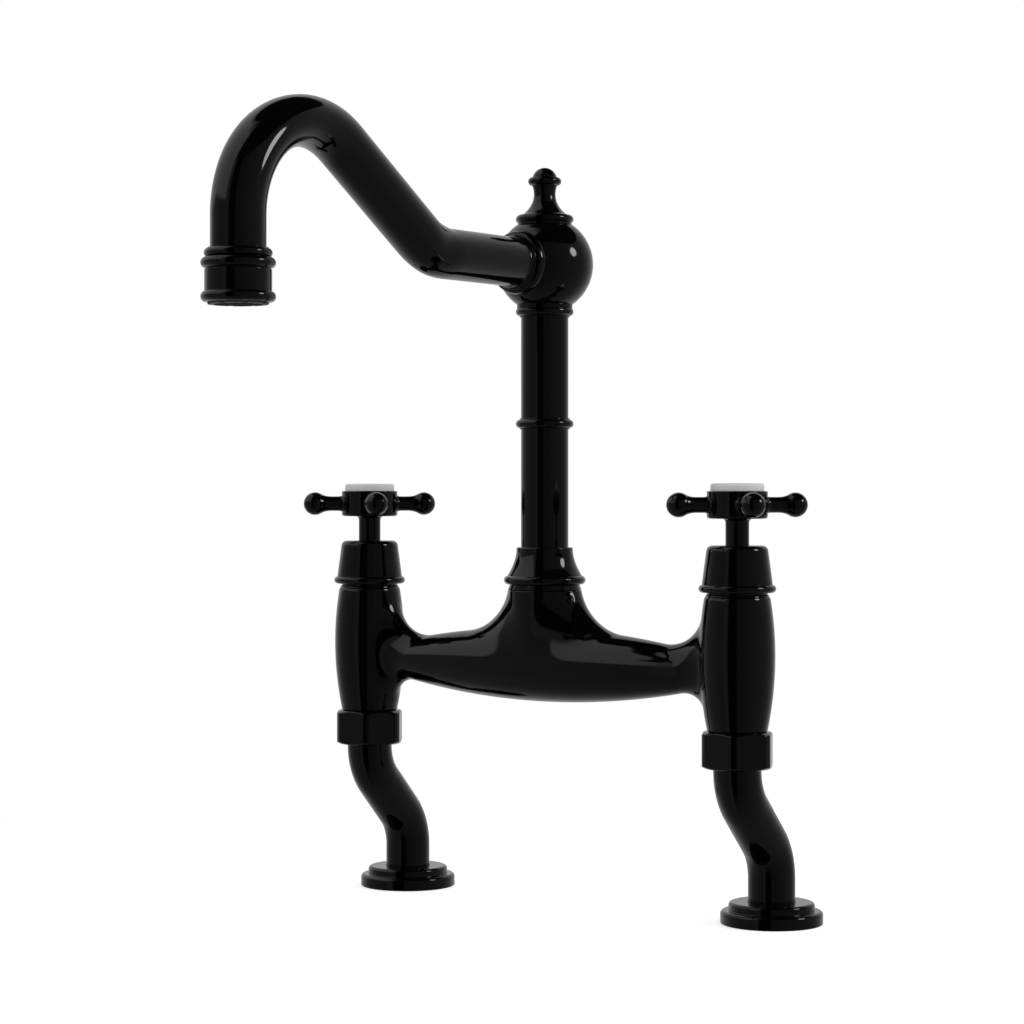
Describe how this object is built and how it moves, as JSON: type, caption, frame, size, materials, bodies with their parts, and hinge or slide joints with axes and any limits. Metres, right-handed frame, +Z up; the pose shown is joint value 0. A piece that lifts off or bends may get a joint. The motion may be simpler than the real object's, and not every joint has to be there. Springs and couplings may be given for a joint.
{
  "type": "kitchen tap",
  "caption": "Traditional bridge kitchen tap: bellied cast bridge on cranked legs, cross-head handles with pale index discs, turned post with ball joint, and a swivelling swan-neck spout.",
  "frame": {"origin": "on the worktop, midway between the axes of the two deck holes", "axes": "+Z up, +X along the bridge towards the right-hand valve, spout towards -Y over the sink"},
  "size_m": [0.2542, 0.2848, 0.358],
  "materials": {
    "black_gloss": "gloss",
    "porcelain": "glazed",
    "ceramic": "lapped",
    "brass": "machined",
    "steel": "bright",
    "rubber": "matt",
    "fibre": "matt",
    "bearing_plastic": "smooth",
    "aerator_plastic": "smooth"
  },
  "bodies": {
    "bridge": {"bridge_body": "black_gloss", "left_leg": "black_gloss", "right_leg": "black_gloss", "left_union_nut": "black_gloss", "right_union_nut": "black_gloss", "left_union_washer": "fibre", "right_union_washer": "fibre", "left_flange": "black_gloss", "right_flange": "black_gloss", "left_flange_seal": "rubber", "right_flange_seal": "rubber", "left_bonnet": "black_gloss", "right_bonnet": "black_gloss", "left_cartridge": "brass", "right_cartridge": "brass", "left_seat_seal": "rubber", "right_seat_seal": "rubber", "left_fixed_disc": "ceramic", "right_fixed_disc": "ceramic", "spout_collar": "black_gloss", "bearing_ring": "bearing_plastic"},
    "spout": {"retaining_ring": "steel", "post_orings": "rubber", "post_tube": "black_gloss", "post_band": "black_gloss", "post_top_ring": "black_gloss", "ball_joint": "black_gloss", "finial": "black_gloss", "spout_arm": "black_gloss", "arm_collar": "black_gloss", "nozzle_sleeve": "black_gloss", "aerator_housing": "black_gloss", "aerator_screen": "aerator_plastic", "aerator_washer": "rubber"},
    "left_handle": {"left_moving_disc": "ceramic", "left_spindle": "brass", "left_spindle_oring": "rubber", "left_handle": "black_gloss", "left_handle_screw": "steel", "left_index": "porcelain"},
    "right_handle": {"right_moving_disc": "ceramic", "right_spindle": "brass", "right_spindle_oring": "rubber", "right_handle": "black_gloss", "right_handle_screw": "steel", "right_index": "porcelain"}
  },
  "joints": [
    {"name": "spout_swivel", "type": "hinge", "parent": "bridge", "child": "spout", "pos_m": [0, -0.0307, 0.14], "axis": [0, 0, 1], "continuous": true},
    {"name": "left_handle_turn", "type": "hinge", "parent": "bridge", "child": "left_handle", "pos_m": [-0.103, -0.0307, 0.165], "axis": [0, 0, 1], "range_deg": [0, 90]},
    {"name": "right_handle_turn", "type": "hinge", "parent": "bridge", "child": "right_handle", "pos_m": [0.103, -0.0307, 0.165], "axis": [0, 0, -1], "range_deg": [0, 90]}
  ]
}
